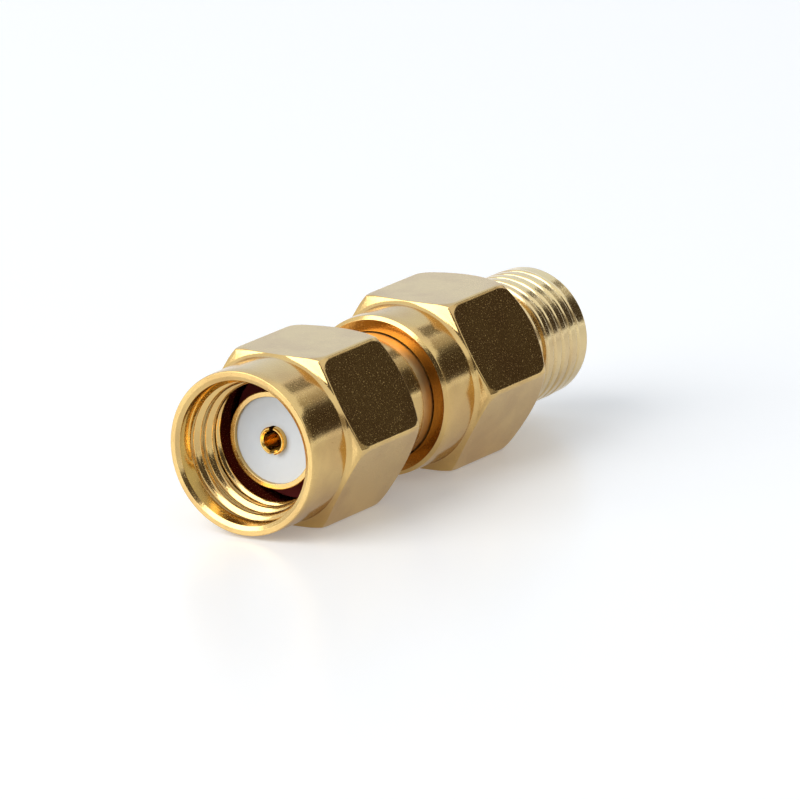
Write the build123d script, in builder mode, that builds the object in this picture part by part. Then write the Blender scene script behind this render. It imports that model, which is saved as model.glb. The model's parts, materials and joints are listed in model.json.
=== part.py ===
from build123d import *
import math
import os

# Millimetres: the hexagonal bar, and the walls and steps inwards from its flats
hex_across_flats = 8.00
nut_collar_step = 0.11
nut_collar_wall = 0.49
jack_collar_step = 0.16
grip_wall = 0.52
ring_thickness = 0.74
ring_groove_depth = 0.48
shoulder_step = 0.80
sleeve_wall = 0.25
mating_shell_gap = 0.54
thread_depth = 0.31
jack_relief_depth = 0.35
neck_step = 0.06
seat_step = 0.20
recess_gap = 0.03

# The centre contact, outwards from its hole
contact_hole_radius = 0.475
contact_wall = 0.185
contact_collar_step = 0.34

# Clearances between pieces that turn, slip on or plug in
nut_running_clearance = 0.06
ring_clearance = 0.06
gasket_slip = 0.02
gasket_cover = 0.15
socket_clearance = 0.02

# Lengths along the axis, from the front rim of the coupling nut backwards
nut_length = 8.62
nut_collar_length = 2.60
nut_mouth_depth = 0.90
nut_thread_length = 1.78
sleeve_recess = 2.61
sleeve_length = 2.34
barrel_length = 5.75
neck_length = 2.10
recess_depth = 1.24
seat_depth = 1.70
jack_collar_length = 2.19
jack_grip_length = 8.43
jack_relief_length = 1.90
jack_thread_length = 3.41
jack_socket_depth = 1.90
gasket_thickness = 0.60
ring_width = 0.45
ring_setback = 1.10
ring_gap = 1.20
insulator_recess = 0.20
contact_protrusion = 0.30
contact_collar_length = 0.80
contact_hole_depth = 2.80
contact_slot_length = 2.20
contact_slot_width = 0.22

# Edges, chamfers and the shape of the hexagonal grips
hex_corner_radius = 0.12
shoulder_fillet = 0.40
shoulder_face_angle = 75
grip_end_step = 0.20
nut_rear_angle = 40
jack_rear_angle = 50
nut_rim_break = 0.06
mouth_chamfer = 0.20
mouth_chamfer_depth = 0.11
jack_rim_break = 0.20
jack_rim_break_depth = 0.12
jack_end_break = 0.12
socket_mouth_break = 0.10
shell_edge_break = 0.04
barrel_edge_break = 0.10
tail_lead = 0.10
contact_edge_break = 0.06
contact_mouth_chamfer = 0.085
drill_point_angle = 118

# Radii that follow from the bar, the walls and the clearances
grip_radius = hex_across_flats / 2
grip_reach = grip_radius / math.cos(math.pi / 6)
nut_collar_radius = grip_radius - nut_collar_step
nut_mouth_radius = nut_collar_radius - nut_collar_wall
jack_collar_radius = grip_radius - jack_collar_step
nut_groove_radius = grip_radius - grip_wall
ring_outer_radius = nut_groove_radius - ring_clearance
ring_inner_radius = ring_outer_radius - ring_thickness
ring_middle_radius = (ring_inner_radius + ring_outer_radius) / 2
ring_groove_radius = ring_inner_radius - ring_clearance
barrel_radius = ring_groove_radius + ring_groove_depth
nut_rear_bore_radius = barrel_radius + nut_running_clearance
nut_relief_radius = barrel_radius + gasket_cover
neck_radius = barrel_radius - neck_step
seat_radius = barrel_radius - seat_step
recess_radius = barrel_radius + recess_gap
sleeve_radius = barrel_radius - shoulder_step
bore_radius = sleeve_radius - sleeve_wall
contact_radius = contact_hole_radius + contact_wall
contact_collar_radius = contact_radius + contact_collar_step
thread_bore_radius = sleeve_radius + mating_shell_gap
thread_lead = nut_mouth_radius - thread_bore_radius
jack_thread_radius = thread_bore_radius + thread_depth
jack_relief_radius = jack_thread_radius - jack_relief_depth
jack_socket_radius = sleeve_radius + socket_clearance

# Stations along the axis that follow from the lengths
nut_rim = 0
nut_thread_end = nut_mouth_depth + nut_thread_length
sleeve_face = sleeve_recess
shoulder = sleeve_face + sleeve_length
barrel_end = shoulder + barrel_length
recess_floor = barrel_end + neck_length
seat_floor = recess_floor + seat_depth
jack_rim = recess_floor - recess_depth
jack_grip_end = jack_rim + jack_grip_length
jack_relief_end = jack_grip_end + jack_relief_length
overall_length = jack_relief_end + jack_thread_length
socket_floor = overall_length - jack_socket_depth
ring_front = shoulder + ring_setback
ring_back = ring_front + ring_width
ring_groove_front = ring_front - ring_clearance
ring_groove_back = ring_back + ring_clearance
insulator_face = sleeve_face + insulator_recess
contact_tip = insulator_face - contact_protrusion
contact_end = socket_floor

# The adapter lies on the lower flats of its two grips, its axis along X, its nut towards -X
axis_height = grip_radius
front_x = -overall_length / 2
turning_plane = Plane(origin=(front_x, 0, axis_height), x_dir=(1, 0, 0), z_dir=(0, -1, 0))
turning_axis = Axis((front_x, 0, axis_height), (1, 0, 0))


def cross_plane(station):
    """The plane square to the axis at a station, its local Y pointing up."""
    return Plane(origin=(front_x + station, 0, axis_height), x_dir=(0, 1, 0), z_dir=(1, 0, 0))


def hexagon(station):
    """The section of the hexagonal bar, with one flat up and softened corners."""
    with BuildSketch(cross_plane(station)) as section:
        RegularPolygon(radius=grip_radius, side_count=6, major_radius=False)
        fillet(section.vertices(), hex_corner_radius)
    return section.sketch


def grip_envelope(rim, rim_break, rim_break_depth, collar_radius, collar_length, end, rear_angle):
    """The turned outline over a collar and its hexagon: edge break, fillet, face, rear chamfer."""
    collar_end = rim + collar_length
    end_radius = grip_radius - grip_end_step
    chamfer_length = (grip_reach - end_radius) * math.tan(math.radians(rear_angle))
    with BuildSketch(turning_plane) as envelope:
        with BuildLine():
            Polyline(
                (rim, 0),
                (rim, collar_radius - rim_break),
                (rim + rim_break_depth, collar_radius),
                (collar_end, collar_radius),
            )
            corner = JernArc(
                start=(collar_end, collar_radius),
                tangent=(1, 0),
                radius=shoulder_fillet,
                arc_size=shoulder_face_angle,
            )
            face_rise = grip_reach - (corner @ 1).Y
            face_run = face_rise / math.tan(math.radians(shoulder_face_angle))
            Polyline(
                corner @ 1,
                ((corner @ 1).X + face_run, grip_reach),
                (end - chamfer_length, grip_reach),
                (end, end_radius),
                (end, 0),
                (rim, 0),
            )
        make_face()
    return envelope.sketch


def contact_socket(mouth, inward):
    """The drilled hole of one end of the contact, from its mouth inwards along the axis."""
    hole_end = mouth + inward * contact_hole_depth
    point_length = contact_hole_radius / math.tan(math.radians(drill_point_angle / 2))
    with BuildSketch(turning_plane) as hole:
        with BuildLine():
            Polyline(
                (mouth, 0),
                (mouth, contact_hole_radius + contact_mouth_chamfer),
                (mouth + inward * contact_mouth_chamfer, contact_hole_radius),
                (hole_end, contact_hole_radius),
                (hole_end + inward * point_length, 0),
                close=True,
            )
        make_face()
    return hole.sketch


def insulator_section(face, inward):
    """Half the section of an insulator, from its open face to the split over the contact collar."""
    collar_seat = seat_floor - inward * contact_collar_length / 2
    with BuildSketch(turning_plane) as section:
        with BuildLine():
            Polyline(
                (face, contact_radius),
                (face, bore_radius),
                (seat_floor, bore_radius),
                (seat_floor, contact_collar_radius),
                (collar_seat, contact_collar_radius),
                (collar_seat, contact_radius),
                close=True,
            )
        make_face()
    return section.sketch


os.makedirs("parts", exist_ok=True)

# Coupling nut: hexagonal bar turned down to a plain collar in front, bored from both ends
with BuildPart() as coupling_nut:
    extrude(hexagon(nut_rim), amount=nut_length)
    revolve(
        grip_envelope(
            nut_rim, nut_rim_break, nut_rim_break, nut_collar_radius, nut_collar_length,
            nut_length, nut_rear_angle,
        ),
        axis=turning_axis,
        mode=Mode.INTERSECT,
    )
    with BuildSketch(turning_plane):
        with BuildLine():
            Polyline(
                (nut_rim, 0),
                (nut_rim, nut_mouth_radius + mouth_chamfer),
                (nut_rim + mouth_chamfer_depth, nut_mouth_radius),
                (nut_mouth_depth, nut_mouth_radius),
                (nut_mouth_depth + thread_lead, thread_bore_radius),
                (nut_thread_end, thread_bore_radius),
                (nut_thread_end + nut_relief_radius - thread_bore_radius, nut_relief_radius),
                (shoulder, nut_relief_radius),
                (shoulder, nut_rear_bore_radius),
                (ring_groove_front, nut_rear_bore_radius),
                (ring_groove_front, nut_groove_radius),
                (ring_groove_back, nut_groove_radius),
                (ring_groove_back, nut_rear_bore_radius),
                (nut_length, nut_rear_bore_radius),
                (nut_length, 0),
                close=True,
            )
        make_face()
    revolve(axis=turning_axis, mode=Mode.SUBTRACT)
coupling_nut.part.label = "coupling_nut"
export_step(coupling_nut.part, "parts/coupling_nut.step")

# Plug body: thin outer sleeve, shoulder, barrel with the ring groove, and a tail pressed into the jack
with BuildPart() as plug_body:
    with BuildSketch(turning_plane):
        with BuildLine():
            Polyline(
                (sleeve_face, bore_radius),
                (sleeve_face, sleeve_radius - shell_edge_break),
                (sleeve_face + shell_edge_break, sleeve_radius),
                (shoulder, sleeve_radius),
                (shoulder, barrel_radius - barrel_edge_break),
                (shoulder + barrel_edge_break, barrel_radius),
                (ring_groove_front, barrel_radius),
                (ring_groove_front, ring_groove_radius),
                (ring_groove_back, ring_groove_radius),
                (ring_groove_back, barrel_radius),
                (barrel_end, barrel_radius),
                (barrel_end, neck_radius),
                (recess_floor, neck_radius),
                (recess_floor, seat_radius),
                (seat_floor - tail_lead, seat_radius),
                (seat_floor, seat_radius - tail_lead),
                (seat_floor, bore_radius),
                close=True,
            )
        make_face()
    revolve(axis=turning_axis)
plug_body.part.label = "plug_body"
export_step(plug_body.part, "parts/plug_body.step")

# Jack body: collar and hexagon of the same bar, then a relief and the threaded socket shell
with BuildPart() as jack_body:
    extrude(hexagon(jack_rim), amount=jack_grip_length)
    revolve(
        grip_envelope(
            jack_rim, jack_rim_break, jack_rim_break_depth, jack_collar_radius, jack_collar_length,
            jack_grip_end, jack_rear_angle,
        ),
        axis=turning_axis,
        mode=Mode.INTERSECT,
    )
    with BuildSketch(turning_plane):
        with BuildLine():
            Polyline(
                (jack_grip_end, 0),
                (jack_grip_end, jack_relief_radius),
                (jack_relief_end - jack_relief_depth, jack_relief_radius),
                (jack_relief_end, jack_thread_radius),
                (overall_length - jack_end_break, jack_thread_radius),
                (overall_length, jack_thread_radius - jack_end_break),
                (overall_length, 0),
                close=True,
            )
        make_face()
    revolve(axis=turning_axis)
    with BuildSketch(turning_plane):
        with BuildLine():
            Polyline(
                (jack_rim, 0),
                (jack_rim, recess_radius),
                (recess_floor, recess_radius),
                (recess_floor, seat_radius),
                (seat_floor, seat_radius),
                (seat_floor, bore_radius),
                (socket_floor, bore_radius),
                (socket_floor, jack_socket_radius),
                (overall_length - socket_mouth_break, jack_socket_radius),
                (overall_length, jack_socket_radius + socket_mouth_break),
                (overall_length, 0),
                close=True,
            )
        make_face()
    revolve(axis=turning_axis, mode=Mode.SUBTRACT)
jack_body.part.label = "jack_body"
export_step(jack_body.part, "parts/jack_body.step")

# Split ring that holds the nut on the barrel, lying in the grooves of both
with BuildPart() as retaining_ring:
    with BuildSketch(turning_plane):
        with Locations((ring_front, ring_inner_radius)):
            Rectangle(ring_width, ring_thickness, align=(Align.MIN, Align.MIN))
    revolve(axis=turning_axis, revolution_arc=360 - math.degrees(ring_gap / ring_middle_radius))
retaining_ring.part.label = "retaining_ring"
export_step(retaining_ring.part, "parts/retaining_ring.step")

# Soft sealing washer round the sleeve, against the shoulder of the plug body
with BuildPart() as gasket:
    with BuildSketch(cross_plane(shoulder - gasket_thickness)):
        Circle(barrel_radius)
        Circle(sleeve_radius + gasket_slip, mode=Mode.SUBTRACT)
    extrude(amount=gasket_thickness)
gasket.part.label = "gasket"
export_step(gasket.part, "parts/gasket.step")

# White insulators, one from each end, closed together over the collar of the contact
with BuildPart() as front_insulator:
    revolve(insulator_section(insulator_face, 1), axis=turning_axis)
front_insulator.part.label = "front_insulator"
export_step(front_insulator.part, "parts/front_insulator.step")

with BuildPart() as rear_insulator:
    revolve(insulator_section(socket_floor, -1), axis=turning_axis)
rear_insulator.part.label = "rear_insulator"
export_step(rear_insulator.part, "parts/rear_insulator.step")

# Centre contact: one turned rod with a slotted socket at each end and a collar in the middle
with BuildPart() as centre_contact:
    with BuildSketch(turning_plane):
        with BuildLine():
            Polyline(
                (contact_tip, 0),
                (contact_tip, contact_radius - contact_edge_break),
                (contact_tip + contact_edge_break, contact_radius),
                (seat_floor - contact_collar_length / 2, contact_radius),
                (seat_floor - contact_collar_length / 2, contact_collar_radius),
                (seat_floor + contact_collar_length / 2, contact_collar_radius),
                (seat_floor + contact_collar_length / 2, contact_radius),
                (contact_end - contact_edge_break, contact_radius),
                (contact_end, contact_radius - contact_edge_break),
                (contact_end, 0),
                close=True,
            )
        make_face()
    revolve(axis=turning_axis)
    for mouth, inward in ((contact_tip, 1), (contact_end, -1)):
        revolve(contact_socket(mouth, inward), axis=turning_axis, mode=Mode.SUBTRACT)
        with BuildSketch(turning_plane):
            with Locations((mouth + inward * contact_slot_length / 2, 0)):
                Rectangle(contact_slot_length, 3 * contact_radius)
        extrude(amount=contact_slot_width / 2, both=True, mode=Mode.SUBTRACT)
centre_contact.part.label = "centre_contact"
export_step(centre_contact.part, "parts/centre_contact.step")
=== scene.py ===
import json
import math

import bpy
from mathutils import Matrix, Vector


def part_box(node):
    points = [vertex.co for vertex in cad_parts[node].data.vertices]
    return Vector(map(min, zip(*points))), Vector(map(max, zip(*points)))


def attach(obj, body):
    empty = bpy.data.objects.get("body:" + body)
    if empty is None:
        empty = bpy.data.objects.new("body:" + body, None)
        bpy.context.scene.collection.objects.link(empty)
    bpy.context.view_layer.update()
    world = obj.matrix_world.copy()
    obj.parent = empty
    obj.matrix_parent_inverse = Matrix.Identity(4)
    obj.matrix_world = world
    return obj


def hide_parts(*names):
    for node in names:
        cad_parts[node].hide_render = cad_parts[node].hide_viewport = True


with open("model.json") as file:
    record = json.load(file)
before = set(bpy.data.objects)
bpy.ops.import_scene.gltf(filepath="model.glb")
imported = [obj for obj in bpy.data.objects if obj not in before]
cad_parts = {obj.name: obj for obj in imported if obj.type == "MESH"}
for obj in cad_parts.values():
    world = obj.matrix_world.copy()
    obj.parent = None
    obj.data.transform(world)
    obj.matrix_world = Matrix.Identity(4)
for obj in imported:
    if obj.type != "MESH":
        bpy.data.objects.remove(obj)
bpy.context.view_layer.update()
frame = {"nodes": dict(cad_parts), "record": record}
MM = 0.001

# Places read from the frame. A station is the distance in mm behind the front rim of the nut.
nut_low, nut_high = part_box("coupling_nut")
FRONT_X = nut_low.x
AXIS_HEIGHT = (nut_low.z + nut_high.z) / 2
MOUNTS = {mount["name"]: mount for mount in frame["record"]["mounts"]}


def station(x):
    """A place along X in metres as a station in mm."""
    return (x - FRONT_X) / MM


def node_stations(node):
    """The first and last station of a CAD node."""
    low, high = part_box(node)
    return station(low.x), station(high.x)


def mount_radius(name):
    """The radius of a round mount in mm."""
    return MOUNTS[name]["dims"]["r_mm"]


def mount_stations(name):
    """The first and last station of a round mount's wall."""
    middle = station(MOUNTS[name]["pos_m"][0])
    half = MOUNTS[name]["dims"]["length_mm"] / 2
    return middle - half, middle + half


NUT_END = node_stations("coupling_nut")[1]
JACK_RIM, TIP_END = node_stations("jack_body")
SLEEVE_FACE, SEAT_FLOOR = node_stations("plug_body")
SHOULDER = node_stations("gasket")[1]
RING_FRONT, RING_BACK = node_stations("retaining_ring")
GRIP_RADIUS = (nut_high.z - nut_low.z) / 2 / MM
SEAL_RADIUS = (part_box("gasket")[1].z - AXIS_HEIGHT) / MM
BORE_RADIUS = (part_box("front_insulator")[1].z - AXIS_HEIGHT) / MM
RING_RADIUS = (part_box("retaining_ring")[1].z - AXIS_HEIGHT) / MM

# Sizes in mm that the frame doesn't state, angles in radians.
# The hexagonal bar, cut alike for the nut and the jack
SECTOR = math.pi / 3
EDGE_FACET_WIDTH = 0.08
EDGE_FACET_TURN = math.radians(16)
EDGE_TIP_WIDTH = 0.06
EDGE_SOFTNESS = 0.006
FRONT_ROUNDING = 0.90
REAR_ROUNDING = 0.70
SHOULDER_FILLET = 0.28
SHOULDER_ANGLE = math.radians(75)
COLLAR_TAPER = 0.03
COLLAR_TAPER_LENGTH = 0.32
COLLAR_TAPER_ROUNDING = 5
RIM_ROUNDING = 0.03
RIM_INSET = 0.1
RIM_LAND = 0.04
FACE_TOP = 4.75
END_RADIUS = GRIP_RADIUS - 0.20

# How widely the ends of the flats are rounded, from the collar on
FRONT_BLEND = 0.22
FRONT_BLEND_LENGTH = 1.60
FRONT_BLEND_GROWTH = 0.6
REAR_BLEND = 0.08

# The nut
NUT_COLLAR_RADIUS = GRIP_RADIUS - 0.11
NUT_COLLAR_END = 2.69
NUT_REAR_ANGLE = math.radians(40)
NUT_REAR_ROUNDING = 0.08
NUT_RIM_BREAK = 0.06
NUT_MOUTH_RADIUS = NUT_COLLAR_RADIUS - 0.49
NUT_MOUTH_DEPTH = 0.90
NUT_LEAD_RADIUS = NUT_MOUTH_RADIUS - 0.22
NUT_LEAD_SLOPE = 0.26
MOUTH_CHAMFER = 0.20
MOUTH_CHAMFER_DEPTH = 0.11
MOUTH_ROUNDING = 0.02
NUT_RELIEF_RADIUS = SEAL_RADIUS + 0.15
NUT_REAR_BORE_RADIUS = SEAL_RADIUS + 0.06
NUT_REAR_BORE_ROUNDING = 0.06

# The jack
JACK_COLLAR_RADIUS = GRIP_RADIUS - 0.16
JACK_RIM_BREAK = 0.20
JACK_RIM_BREAK_DEPTH = 0.12
JACK_COLLAR_END = JACK_RIM + 2.28
JACK_GRIP_END = JACK_RIM + 8.43
JACK_REAR_ANGLE = math.radians(50)
JACK_REAR_ROUNDING = 0.10
JACK_RELIEF_DEPTH = 0.35
JACK_RELIEF_FILLET = 0.15
RECESS_RADIUS = SEAL_RADIUS - 0.01
RECESS_FLOOR = JACK_RIM + 1.24
RECESS_ROUNDING = 0.02
SOCKET_BREAK = 0.10
SOCKET_ROUNDING = 0.04
TIP_BREAK = 0.12

# The plug and the grooves that hold the ring
SLEEVE_RADIUS = BORE_RADIUS + 0.25
SLEEVE_ROUNDING = 0.04
SLEEVE_BORE_ROUNDING = 0.02
SHOULDER_ROUNDING = 0.08
BARREL_END_ROUNDING = 0.03
NECK_RADIUS = SEAL_RADIUS - 0.06
NECK_START = RECESS_FLOOR - 2.10
SEAT_RADIUS = SEAL_RADIUS - 0.20
SEAT_ROUNDING = 0.08
RING_CLEARANCE = 0.06
GROOVE_FRONT = RING_FRONT - RING_CLEARANCE
GROOVE_BACK = RING_BACK + RING_CLEARANCE
NUT_GROOVE_RADIUS = RING_RADIUS + RING_CLEARANCE
BARREL_GROOVE_RADIUS = SEAL_RADIUS - 0.48

# The 1/4-36 threads of nut and jack
PITCH = 25.4 / 36
FLANK_SLOPE = 1 / math.tan(math.radians(30))
THREAD_SOFTNESS = 0.05
NUT_CREST_FLAT = 0.22
NUT_THREAD_DEPTH = 0.22
JACK_CREST_FLAT = 0.46
JACK_THREAD_DEPTH = 0.20
JACK_THREAD_SHIFT = 0.30
JACK_THREAD_END = TIP_END - 0.70
JACK_LEAD_SLOPE = 2
FADE_LENGTH = 0.15
TIP_STEP = 0.03

# Mesh resolution
ARC_STEPS = 6
FILLET_STEPS = 12
FINE_STEP = 0.027
CORNER_STEP = 0.08
THREAD_ROWS_PER_PITCH = 14
CORNER_COLUMNS = 24
CORNER_SPREAD = math.radians(3.6)
FLAT_COLUMNS = 32
SCREEN_COLUMNS = 24
EDGE_HOLD = 0.03
LONG_RUN = 0.12

# Reflectance of the plating at a right angle, its blotches, its rougher specks and its grain. Only the
# first tone is the plating's own; the four after it are painted light on chosen faces
GOLD_COLOUR = (0.68, 0.47, 0.185)
# Painted reflection: a paler, creamier gold on the neck that stands in for the bright lamp mirrored there
NECK_PAINTED_REFLECTION_COLOUR = (0.82, 0.63, 0.31)
# Painted inter-reflection: a brighter, more orange gold for the nut's mouth and the contact, standing in
# for gold mirroring gold in these hollows
MOUTH_PAINTED_REFLECTION_COLOUR = (0.78, 0.52, 0.15)
# Painted shade and inter-reflection: a dark orange-brown gold on the jack's front rim and in its recess,
# where shade and gold-on-gold reflection fall
RECESS_PAINTED_SHADE_COLOUR = (0.44, 0.20, 0.04)
# Painted highlight: a paler gold on the jack's relief, thread and tip, standing in for the overhead lamp
# mirrored on them
THREAD_PAINTED_HIGHLIGHT_COLOUR = (0.77, 0.60, 0.31)
PLATING_ROUGHNESS = 0.15
NECK_ROUGHNESS = 0.35
COAT_MARGIN = 0.02
BLOTCH_TINT = (0.86, 0.81, 0.82)
BLOTCH_RANGE = (0.42, 0.66)
BLOTCHES_PER_METRE = 420
SPECK_RANGE = (0.60, 0.74)
SPECK_ROUGHNESS = 0.50
SPECKS_PER_METRE = 16000
GRAIN_PER_METRE = 9000
GRAIN_HEIGHT = 2.5e-6

# Insulators and washer
INSULATOR_COLOUR = (0.66, 0.71, 0.76)
INSULATOR_ROUGHNESS = 0.5
RUBBER_COLOUR = (0.15, 0.005, 0.006)
RUBBER_ROUGHNESS = 0.8
MOTTLE_SHADE = 0.94
MOTTLE_PER_METRE = 2500

# Studio, in metres, watts and degrees
FLOOR_REACH = 2.5
FLOOR_COLOUR = (0.87, 0.87, 0.87)
FLOOR_ROUGHNESS = 0.3
FLOOR_SPECULAR = 0.2
FLOOR_GLOW = 0.20
WORLD_COLOUR = (0.95, 0.985, 1.02)
WORLD_LIGHTING = 0.50
WORLD_SHOWN = 1.10
LAMP_SIZE = (0.56, 0.62)
LAMP_STRENGTH = 3.6
SCREEN_DISTANCE = 0.5
# Name, azimuths, elevations and colour of each screen
SCREENS = (
    ("camera_card", (-178, -130), (4, 33), (0.08, 0.065, 0.05)),
    ("grey_card", (-130, -46), (8, 25), (0.36, 0.33, 0.28)),
    ("dark_card", (-46, -6), (4, 21), (0.065, 0.05, 0.035)),
    ("dark_card_top", (-46, -17), (21, 28), (0.065, 0.05, 0.035)),
    ("upper_card", (-27, -11), (28, 33.5), (0.45, 0.42, 0.36)),
    ("gap_card", (-11, 3), (32, 38), (0.10, 0.085, 0.06)),
    ("sky_card", (5, 60), (8, 42), (0.87, 0.97, 1.10)),
)


def soft_min(a, b, blend):
    """The smaller of two lengths, with the corner between them rounded over the length blend."""
    if blend <= 0:
        return min(a, b)
    closeness = max(blend - abs(a - b), 0) / blend
    return min(a, b) - closeness * closeness * blend / 4


def rounded(points):
    """A turned outline of (station, radius) from corners (station, radius, rounding)."""
    outline = []
    count = len(points)
    for i, (s, r, rounding) in enumerate(points):
        here = Vector((s, r))
        if rounding <= 0:
            outline.append((s, r))
            continue
        before = (Vector(points[i - 1][:2]) - here).normalized()
        after = (Vector(points[(i + 1) % count][:2]) - here).normalized()
        half_angle = before.angle(after) / 2
        reach = rounding / math.tan(half_angle)
        start = here + before * reach
        end = here + after * reach
        centre = here + (before + after).normalized() * (rounding / math.sin(half_angle))
        for step in range(ARC_STEPS + 1):
            spoke = (start - centre).slerp(end - centre, step / ARC_STEPS)
            outline.append(tuple(centre + spoke.normalized() * rounding))
    return outline


def held(outline):
    """The outline with a point close to both ends of each long run, so that shading stays flat there.

    The run from the last corner back to the first gets two such points as well, at the end.
    """
    result = []
    count = len(outline)
    for i, here in enumerate(outline):
        following = outline[(i + 1) % count]
        run = Vector(following) - Vector(here)
        result.append(here)
        if run.length > LONG_RUN:
            step = run.normalized() * EDGE_HOLD
            result.append(tuple(Vector(here) + step))
            result.append(tuple(Vector(following) - step))
    return result


def sampled(start, end, step):
    """Points from start to end, both included, no further apart than step."""
    run = Vector(end) - Vector(start)
    count = max(1, math.ceil(run.length / step))
    return [tuple(Vector(start) + run * (i / count)) for i in range(count + 1)]


def column_angles():
    """Angles round the axis, closer together at the corners of the hexagon."""
    angles = []
    for side in range(6):
        corner = side * SECTOR
        for i in range(CORNER_COLUMNS):
            angles.append(corner - CORNER_SPREAD + 2 * CORNER_SPREAD * i / CORNER_COLUMNS)
        for i in range(FLAT_COLUMNS):
            flat_width = SECTOR - 2 * CORNER_SPREAD
            angles.append(corner + CORNER_SPREAD + flat_width * i / FLAT_COLUMNS)
    return angles


def bar_radius(angle, ends):
    """The radius of the hexagonal bar, a corner towards +Y, its edges broken by narrow facets.

    ends gives, for a radius, how far the place lies from the front and the rear end of the flats there.
    """
    from_corner = abs((angle + SECTOR / 2) % SECTOR - SECTOR / 2)
    from_flat = SECTOR / 2 - from_corner
    flat = GRIP_RADIUS / math.cos(from_flat)
    facet_turn = SECTOR / 2 - EDGE_FACET_TURN
    facet_reach = EDGE_TIP_WIDTH / 2 + EDGE_FACET_WIDTH * math.cos(EDGE_FACET_TURN)
    flat_half_width = GRIP_RADIUS * math.tan(SECTOR / 2) - facet_reach / math.cos(SECTOR / 2)
    to_edge = flat_half_width - GRIP_RADIUS * math.tan(from_flat)
    to_front, to_rear = ends(flat)
    inside = min(
        soft_min(to_edge, to_front, FRONT_ROUNDING),
        soft_min(to_edge, to_rear, REAR_ROUNDING),
    )
    broken = flat + inside * math.tan(facet_turn) / math.cos(SECTOR / 2)
    tip_distance = (
        GRIP_RADIUS / math.cos(SECTOR / 2) - facet_reach * math.tan(SECTOR / 2)
        + EDGE_FACET_WIDTH * math.sin(EDGE_FACET_TURN)
    )
    return min(soft_min(flat, broken, EDGE_SOFTNESS), tip_distance / math.cos(from_corner))


def thread_cut(s, angle, crest_flat, depth):
    """How far a right-hand thread is cut below its crest at a station and angle."""
    along = (s / PITCH - angle / (2 * math.pi)) % 1
    from_crest = abs(along - 0.5) * PITCH
    flank = (PITCH / 2 - from_crest - crest_flat / 2) * FLANK_SLOPE
    return max(0, soft_min(flank, depth, THREAD_SOFTNESS))


def edge_blend(behind):
    """How widely the ends of the flats are rounded, at a distance behind the collar."""
    taper = max(0, 1 - behind / FRONT_BLEND_LENGTH) ** 2
    return min(max(0, behind) * FRONT_BLEND_GROWTH, REAR_BLEND + FRONT_BLEND * taper)


def add_object(name, data):
    """A new object in the scene."""
    added = bpy.data.objects.new(name, data)
    bpy.context.scene.collection.objects.link(added)
    return added


def add_mesh(name, vertices, faces):
    """A new mesh object in the scene."""
    mesh = bpy.data.meshes.new(name)
    mesh.from_pydata(vertices, [], faces)
    return add_object(name, mesh)


def lathe(name, outline, radius_at=None):
    """A closed mesh turned from a closed outline of (station, radius). radius_at reshapes it by angle."""
    angles = column_angles()
    vertices = []
    for row, (s, r) in enumerate(outline):
        for angle in angles:
            radius = r if radius_at is None else radius_at(row, s, r, angle)
            vertices.append((
                FRONT_X + s * MM,
                radius * math.cos(angle) * MM,
                AXIS_HEIGHT + radius * math.sin(angle) * MM,
            ))
    rows = len(outline)
    columns = len(angles)
    faces = []
    for i in range(rows):
        for j in range(columns):
            a = i * columns + j
            b = i * columns + (j + 1) % columns
            c = ((i + 1) % rows) * columns + (j + 1) % columns
            d = ((i + 1) % rows) * columns + j
            faces.append((a, b, c, d))
    piece = add_mesh(name, vertices, faces)
    piece.data.shade_smooth()
    return piece


def grip(rim, rim_break, rim_break_depth, collar_radius, collar_end, end, rear_angle):
    """Rows of rim, collar, shoulder and rear chamfer, which of them are cut, and their radius by angle.

    The inset corner and the run that closes the outline only steer the rounding, so no row has them.
    """
    rows = held(rounded([
        (rim, collar_radius - rim_break - RIM_INSET, 0),
        (rim, collar_radius - rim_break, RIM_ROUNDING),
        (rim + rim_break_depth, collar_radius - COLLAR_TAPER, RIM_ROUNDING),
        (rim + rim_break_depth + COLLAR_TAPER_LENGTH, collar_radius, COLLAR_TAPER_ROUNDING),
        (collar_end, collar_radius, 0),
    ]))[1:-2]
    first_cut = len(rows)
    for step in range(1, FILLET_STEPS + 1):
        turn = SHOULDER_ANGLE * step / FILLET_STEPS
        rows.append((
            collar_end + SHOULDER_FILLET * math.sin(turn),
            collar_radius + SHOULDER_FILLET * (1 - math.cos(turn)),
        ))
    foot_s, foot_r = rows[-1]
    face_slope = math.tan(SHOULDER_ANGLE)
    face_run = (FACE_TOP - foot_r) / face_slope
    rows += sampled((foot_s, foot_r), (foot_s + face_run, FACE_TOP), FINE_STEP)[1:]
    rear_slope = math.tan(rear_angle)
    rear_top = end - (FACE_TOP - END_RADIUS) * rear_slope
    for start, stop in (
        (rows[-1][0] + EDGE_HOLD, foot_s + FRONT_ROUNDING),
        (rear_top - REAR_ROUNDING, rear_top - EDGE_HOLD),
    ):
        rows += sampled((start, FACE_TOP), (stop, FACE_TOP), CORNER_STEP)
    rows += sampled((rear_top, FACE_TOP), (end, END_RADIUS), FINE_STEP)[:-1]

    def cut_radius(s, r, angle):
        def ends(radius):
            rise = (radius - collar_radius) / SHOULDER_FILLET
            along = math.sqrt(max(0, 1 - (1 - min(rise, 1)) ** 2))
            on_fillet = collar_end + SHOULDER_FILLET * along
            on_face = foot_s + (radius - foot_r) / face_slope
            front = on_face if radius > foot_r else on_fillet
            return s - front, end - (radius - END_RADIUS) * rear_slope - s
        return soft_min(r, bar_radius(angle, ends), edge_blend(s - collar_end))

    return rows, (first_cut, len(rows)), cut_radius


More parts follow.
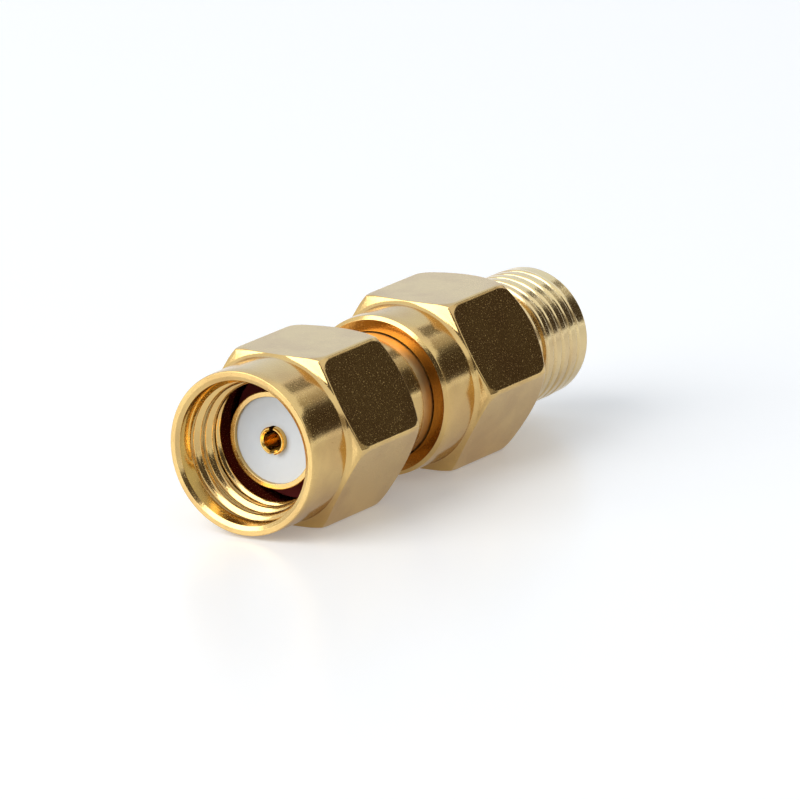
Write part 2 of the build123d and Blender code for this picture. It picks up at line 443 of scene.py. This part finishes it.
def nut_piece():
    """The coupling nut with its rounded hexagon and a real thread in its mouth."""
    outside, (first_cut, last_cut), cut_radius = grip(
        0, NUT_RIM_BREAK, NUT_RIM_BREAK, NUT_COLLAR_RADIUS, NUT_COLLAR_END,
        NUT_END, NUT_REAR_ANGLE,
    )
    crest = mount_radius("coupling_thread")
    thread_end = mount_stations("coupling_thread")[1]
    relief_start = thread_end + NUT_RELIEF_RADIUS - crest
    rear = held(rounded([
        (NUT_END, END_RADIUS, NUT_REAR_ROUNDING),
        (NUT_END, NUT_REAR_BORE_RADIUS, NUT_REAR_BORE_ROUNDING),
        (GROOVE_BACK, NUT_REAR_BORE_RADIUS, 0),
        (GROOVE_BACK, NUT_GROOVE_RADIUS, 0),
        (GROOVE_FRONT, NUT_GROOVE_RADIUS, 0),
        (GROOVE_FRONT, NUT_REAR_BORE_RADIUS, 0),
        (SHOULDER, NUT_REAR_BORE_RADIUS, 0),
        (SHOULDER, NUT_RELIEF_RADIUS, 0),
        (relief_start, NUT_RELIEF_RADIUS, 0),
    ]))[:-3]
    thread = sampled(
        (relief_start, crest), (NUT_MOUTH_DEPTH, crest), PITCH / THREAD_ROWS_PER_PITCH
    )
    mouth = held(rounded([
        (NUT_MOUTH_DEPTH, NUT_MOUTH_RADIUS, 0),
        (MOUTH_CHAMFER_DEPTH, NUT_MOUTH_RADIUS, MOUTH_ROUNDING),
        (0, NUT_MOUTH_RADIUS + MOUTH_CHAMFER, MOUTH_ROUNDING),
        (0, NUT_COLLAR_RADIUS - NUT_RIM_BREAK - RIM_LAND, 0),
    ]))[1:-2]
    outline = outside + rear + thread + mouth
    first_thread = len(outside) + len(rear)
    last_thread = first_thread + len(thread)

    def radius_at(row, s, r, angle):
        if first_cut <= row < last_cut:
            return cut_radius(s, r, angle)
        if first_thread <= row < last_thread:
            lead = NUT_LEAD_RADIUS - (s - NUT_MOUTH_DEPTH) * NUT_LEAD_SLOPE
            cut = max(crest, lead) + thread_cut(s, angle, NUT_CREST_FLAT, NUT_THREAD_DEPTH)
            runout = crest + (s - thread_end)
            return max(min(cut, NUT_MOUTH_RADIUS), min(runout, NUT_RELIEF_RADIUS))
        return r

    piece = lathe("nut_shell", outline, radius_at)
    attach(piece, "nut")
    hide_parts("coupling_nut")
    return piece


def jack_piece():
    """The fixed body: collar and hexagon, relief, threaded end and stepped bore."""
    outside, (first_cut, last_cut), cut_radius = grip(
        JACK_RIM, JACK_RIM_BREAK, JACK_RIM_BREAK_DEPTH, JACK_COLLAR_RADIUS, JACK_COLLAR_END,
        JACK_GRIP_END, JACK_REAR_ANGLE,
    )
    crest = mount_radius("jack_thread")
    thread_start = mount_stations("jack_thread")[0]
    relief_radius = crest - JACK_RELIEF_DEPTH
    lead_start = thread_start - JACK_RELIEF_DEPTH
    socket_radius = mount_radius("jack_bore")
    socket_floor = mount_stations("jack_bore")[0]
    relief = held(rounded([
        (JACK_GRIP_END, END_RADIUS, JACK_REAR_ROUNDING),
        (JACK_GRIP_END, relief_radius, JACK_RELIEF_FILLET),
        (lead_start, relief_radius, 0),
    ]))[:-3]
    thread = sampled(
        (lead_start, crest), (TIP_END, crest), PITCH / THREAD_ROWS_PER_PITCH
    )[:-1]
    inside = held(rounded([
        (TIP_END, crest - TIP_BREAK, 0),
        (TIP_END, socket_radius + SOCKET_BREAK, SOCKET_ROUNDING),
        (TIP_END - SOCKET_BREAK, socket_radius, SOCKET_ROUNDING),
        (socket_floor, socket_radius, 0),
        (socket_floor, BORE_RADIUS, 0),
        (SEAT_FLOOR, BORE_RADIUS, 0),
        (SEAT_FLOOR, SEAT_RADIUS, 0),
        (RECESS_FLOOR, SEAT_RADIUS, 0),
        (RECESS_FLOOR, RECESS_RADIUS, 0),
        (JACK_RIM, RECESS_RADIUS, RECESS_ROUNDING),
        (JACK_RIM, JACK_COLLAR_RADIUS - JACK_RIM_BREAK - RIM_LAND, 0),
    ]))[:-2]
    outline = outside + relief + thread + inside
    first_thread = len(outside) + len(relief)
    last_thread = first_thread + len(thread)

    def radius_at(row, s, r, angle):
        if first_cut <= row < last_cut:
            return cut_radius(s, r, angle)
        if first_thread <= row < last_thread:
            fade = min(1, max(0, (JACK_THREAD_END - s) / FADE_LENGTH))
            groove = thread_cut(s + JACK_THREAD_SHIFT, angle, JACK_CREST_FLAT, JACK_THREAD_DEPTH)
            cut = crest - TIP_STEP - (groove - TIP_STEP) * fade
            lead = relief_radius + (s - lead_start) * JACK_LEAD_SLOPE
            tip = crest - TIP_BREAK + (TIP_END - s)
            return min(cut, lead, tip)
        return r

    piece = lathe("jack_shell", outline, radius_at)
    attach(piece, "adapter_body")
    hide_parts("jack_body")
    return piece


def plug_piece():
    """The pressed body: sleeve, shoulder, barrel with its groove, neck and tail."""
    outline = held(rounded([
        (SLEEVE_FACE, BORE_RADIUS, SLEEVE_BORE_ROUNDING),
        (SLEEVE_FACE, SLEEVE_RADIUS, SLEEVE_ROUNDING),
        (SHOULDER, SLEEVE_RADIUS, 0),
        (SHOULDER, SEAL_RADIUS, SHOULDER_ROUNDING),
        (GROOVE_FRONT, SEAL_RADIUS, 0),
        (GROOVE_FRONT, BARREL_GROOVE_RADIUS, 0),
        (GROOVE_BACK, BARREL_GROOVE_RADIUS, 0),
        (GROOVE_BACK, SEAL_RADIUS, 0),
        (NECK_START, SEAL_RADIUS, BARREL_END_ROUNDING),
        (NECK_START, NECK_RADIUS, 0),
        (RECESS_FLOOR, NECK_RADIUS, 0),
        (RECESS_FLOOR, SEAT_RADIUS, 0),
        (SEAT_FLOOR, SEAT_RADIUS, SEAT_ROUNDING),
        (SEAT_FLOOR, BORE_RADIUS, 0),
    ]))
    piece = lathe("plug_shell", outline)
    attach(piece, "adapter_body")
    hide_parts("plug_body")
    return piece


def new_material(name):
    """An empty node material and its shader and links."""
    material = bpy.data.materials.new(name)
    material.use_nodes = True
    tree = material.node_tree
    tree.nodes.clear()
    output = tree.nodes.new("ShaderNodeOutputMaterial")
    shader = tree.nodes.new("ShaderNodeBsdfPrincipled")
    tree.links.new(shader.outputs["BSDF"], output.inputs["Surface"])
    return material, tree, shader


def noise(tree, scale, detail=2.0):
    """Noise fixed to the object, with scale in features per metre."""
    place = tree.nodes.new("ShaderNodeTexCoord")
    texture = tree.nodes.new("ShaderNodeTexNoise")
    texture.inputs["Scale"].default_value = scale
    texture.inputs["Detail"].default_value = detail
    tree.links.new(place.outputs["Object"], texture.inputs["Vector"])
    return texture


def shade_by(tree, shader, texture, places, colours):
    """The shader's colour, blended between two colours where the noise passes between two places."""
    ramp = tree.nodes.new("ShaderNodeValToRGB")
    for element, place, colour in zip(ramp.color_ramp.elements, places, colours):
        element.position = place
        element.color = (*colour, 1)
    tree.links.new(texture.outputs["Fac"], ramp.inputs["Fac"])
    tree.links.new(ramp.outputs["Color"], shader.inputs["Base Color"])


def gold_material(name, colour, smooth=PLATING_ROUGHNESS):
    """Gold plating: near mirror-like, with faint blotches, rougher specks and a fine grain."""
    material, tree, shader = new_material(name)
    blotches = noise(tree, BLOTCHES_PER_METRE, 5)
    dull = [c * k for c, k in zip(colour, BLOTCH_TINT)]
    shade_by(tree, shader, blotches, BLOTCH_RANGE, (colour, dull))
    shader.inputs["Metallic"].default_value = 1
    specks = noise(tree, SPECKS_PER_METRE, 3)
    spread = tree.nodes.new("ShaderNodeMapRange")
    spread.inputs["From Min"].default_value = SPECK_RANGE[0]
    spread.inputs["From Max"].default_value = SPECK_RANGE[1]
    spread.inputs["To Min"].default_value = smooth
    spread.inputs["To Max"].default_value = SPECK_ROUGHNESS
    tree.links.new(specks.outputs["Fac"], spread.inputs["Value"])
    tree.links.new(spread.outputs["Result"], shader.inputs["Roughness"])
    grain = noise(tree, GRAIN_PER_METRE, 3)
    bump = tree.nodes.new("ShaderNodeBump")
    bump.inputs["Strength"].default_value = 1
    bump.inputs["Distance"].default_value = GRAIN_HEIGHT
    tree.links.new(grain.outputs["Fac"], bump.inputs["Height"])
    tree.links.new(bump.outputs["Normal"], shader.inputs["Normal"])
    return material


def plain_material(name, colour, roughness):
    """A dull plastic or rubber with a faint mottling."""
    material, tree, shader = new_material(name)
    shader.inputs["Roughness"].default_value = roughness
    mottle = noise(tree, MOTTLE_PER_METRE)
    shade_by(tree, shader, mottle, (0, 1), ([c * MOTTLE_SHADE for c in colour], colour))
    return material


def set_material(piece, material):
    """One material all over a piece."""
    piece.data.materials.clear()
    piece.data.materials.append(material)


def second_coat(piece, material, chosen):
    """Another material on the faces of a turned piece that chosen picks by station and radius."""
    piece.data.materials.append(material)
    last = len(piece.data.materials) - 1
    for face in piece.data.polygons:
        across = math.hypot(face.center.y, face.center.z - AXIS_HEIGHT) / MM
        if chosen(station(face.center.x), across):
            face.material_index = last


def camera():
    """The photograph's camera: a long lens, from the front left and a little above."""
    aim = Vector((-4.51, -3.41, 5.07)) * MM
    azimuth = math.radians(-57.69)
    elevation = math.radians(15.03)
    roll = math.radians(-0.81)
    distance = 458 * MM
    back = Vector((
        math.sin(azimuth) * math.cos(elevation),
        -math.cos(azimuth) * math.cos(elevation),
        math.sin(elevation),
    ))
    data = bpy.data.cameras.new("camera")
    data.lens = 450
    data.sensor_width = 36
    data.clip_start = 0.01
    data.clip_end = 20
    view = add_object("camera", data)
    turned = back.to_track_quat("Z", "Y").to_matrix() @ Matrix.Rotation(roll, 3, "Z")
    view.matrix_world = Matrix.Translation(aim + back * distance) @ turned.to_4x4()
    bpy.context.scene.camera = view


def panel(name, centre, target, size, strength):
    """A soft rectangular lamp at centre, facing target. Sizes in metres, strength in watts."""
    data = bpy.data.lights.new(name, "AREA")
    data.shape = "RECTANGLE"
    data.size, data.size_y = size
    data.energy = strength
    lamp = add_object(name, data)
    facing = (Vector(centre) - Vector(target)).to_track_quat("Z", "Y").to_matrix().to_4x4()
    lamp.matrix_world = Matrix.Translation(centre) @ facing
    lamp.visible_camera = False


def towards(azimuth, elevation, distance):
    """A place seen from the part at an angle from +X towards +Y and a height angle, in degrees."""
    a, e = math.radians(azimuth), math.radians(elevation)
    return Vector((
        math.cos(a) * math.cos(e), math.sin(a) * math.cos(e), math.sin(e)
    )) * distance + Vector((0, 0, AXIS_HEIGHT))


def screen(name, azimuths, elevations, colour):
    """An even sheet round the part that only the gold mirrors, between two angles each way in degrees."""
    vertices = []
    for i in range(SCREEN_COLUMNS + 1):
        azimuth = azimuths[0] + (azimuths[1] - azimuths[0]) * i / SCREEN_COLUMNS
        for elevation in elevations:
            vertices.append(towards(azimuth, elevation, SCREEN_DISTANCE))
    faces = [(2 * i, 2 * i + 1, 2 * i + 3, 2 * i + 2) for i in range(SCREEN_COLUMNS)]
    sheet = add_mesh(name, vertices, faces)
    material, tree, shader = new_material(name)
    shader.inputs["Base Color"].default_value = (0, 0, 0, 1)
    shader.inputs["Specular IOR Level"].default_value = 0
    shader.inputs["Emission Color"].default_value = (*colour, 1)
    shader.inputs["Emission Strength"].default_value = 1
    set_material(sheet, material)
    sheet.visible_camera = False
    sheet.visible_shadow = False
    sheet.visible_diffuse = False


def background_level(tree, lighting, shown):
    """One strength for the rays that show a background, to the camera or in metal, and one for the rest."""
    ray = tree.nodes.new("ShaderNodeLightPath")
    level = ray.outputs["Is Camera Ray"]
    for kind in ("Is Glossy Ray", "Is Transmission Ray"):
        either = tree.nodes.new("ShaderNodeMath")
        either.operation = "MAXIMUM"
        tree.links.new(level, either.inputs[0])
        tree.links.new(ray.outputs[kind], either.inputs[1])
        level = either.outputs[0]
    strength = tree.nodes.new("ShaderNodeMapRange")
    strength.inputs["To Min"].default_value = lighting
    strength.inputs["To Max"].default_value = shown
    tree.links.new(level, strength.inputs["Value"])
    return strength.outputs["Result"]


def studio():
    """White floor and surroundings, a large lamp at the back left and darker screens round the front."""
    reach = FLOOR_REACH
    corners = [(-reach, -reach, 0), (reach, -reach, 0), (reach, reach, 0), (-reach, reach, 0)]
    floor = add_mesh("floor", corners, [(0, 1, 2, 3)])
    material, tree, shader = new_material("floor")
    shader.inputs["Base Color"].default_value = (*FLOOR_COLOUR, 1)
    shader.inputs["Roughness"].default_value = FLOOR_ROUGHNESS
    shader.inputs["Specular IOR Level"].default_value = FLOOR_SPECULAR
    shader.inputs["Emission Color"].default_value = (1, 1, 1, 1)
    tree.links.new(background_level(tree, 0, FLOOR_GLOW), shader.inputs["Emission Strength"])
    set_material(floor, material)

    world = bpy.data.worlds.new("studio")
    world.use_nodes = True
    bpy.context.scene.world = world
    tree = world.node_tree
    background = tree.nodes["Background"]
    level = background_level(tree, WORLD_LIGHTING, WORLD_SHOWN)
    tree.links.new(level, background.inputs["Strength"])
    background.inputs["Color"].default_value = (*WORLD_COLOUR, 1)

    panel("back_lamp", towards(155, 33, 0.6), (0, 0, 0), LAMP_SIZE, LAMP_STRENGTH)
    for name, azimuths, elevations, colour in SCREENS:
        screen(name, azimuths, elevations, colour)


bpy.context.scene.view_settings.view_transform = "Standard"
gold = gold_material("gold_plating", GOLD_COLOUR)
neck_painted_reflection = gold_material("pale_gold_plating", NECK_PAINTED_REFLECTION_COLOUR, NECK_ROUGHNESS)
mouth_painted_reflection = gold_material("mouth_gold_plating", MOUTH_PAINTED_REFLECTION_COLOUR)
recess_painted_shade = gold_material("deep_gold_plating", RECESS_PAINTED_SHADE_COLOUR)
thread_painted_highlight = gold_material("thread_gold_plating", THREAD_PAINTED_HIGHLIGHT_COLOUR)
white = plain_material("white_insulator", INSULATOR_COLOUR, INSULATOR_ROUGHNESS)
red = plain_material("red_rubber", RUBBER_COLOUR, RUBBER_ROUGHNESS)

nut, jack, plug = nut_piece(), jack_piece(), plug_piece()
for piece in (nut, jack, plug):
    set_material(piece, gold)
mouth_wall = NUT_MOUTH_RADIUS + COAT_MARGIN
rim_face = JACK_COLLAR_RADIUS - JACK_RIM_BREAK
# Painted inter-reflection in the nut's mouth: the brighter, more orange gold
second_coat(nut, mouth_painted_reflection, lambda s, r: s < NUT_MOUTH_DEPTH and r < mouth_wall)
# Painted shade and inter-reflection on the jack's rim face and recess: the dark orange-brown gold
second_coat(jack, recess_painted_shade, lambda s, r: s < JACK_RIM + COAT_MARGIN and r < rim_face)
# Painted highlight on the jack behind the hexagon: the paler gold
second_coat(jack, thread_painted_highlight, lambda s, r: s > JACK_GRIP_END + COAT_MARGIN)
# Painted reflection on the neck and the plug behind it: the paler gold in place of the bright lamp it
# mirrors
second_coat(plug, neck_painted_reflection, lambda s, r: s > NECK_START)

for node, material in (
    # The contact takes the mouth's painted inter-reflection tone, more orange than the plating
    ("centre_contact", mouth_painted_reflection), ("retaining_ring", gold), ("front_insulator", white),
    ("rear_insulator", white), ("gasket", red),
):
    set_material(frame["nodes"][node], material)
studio()
camera()
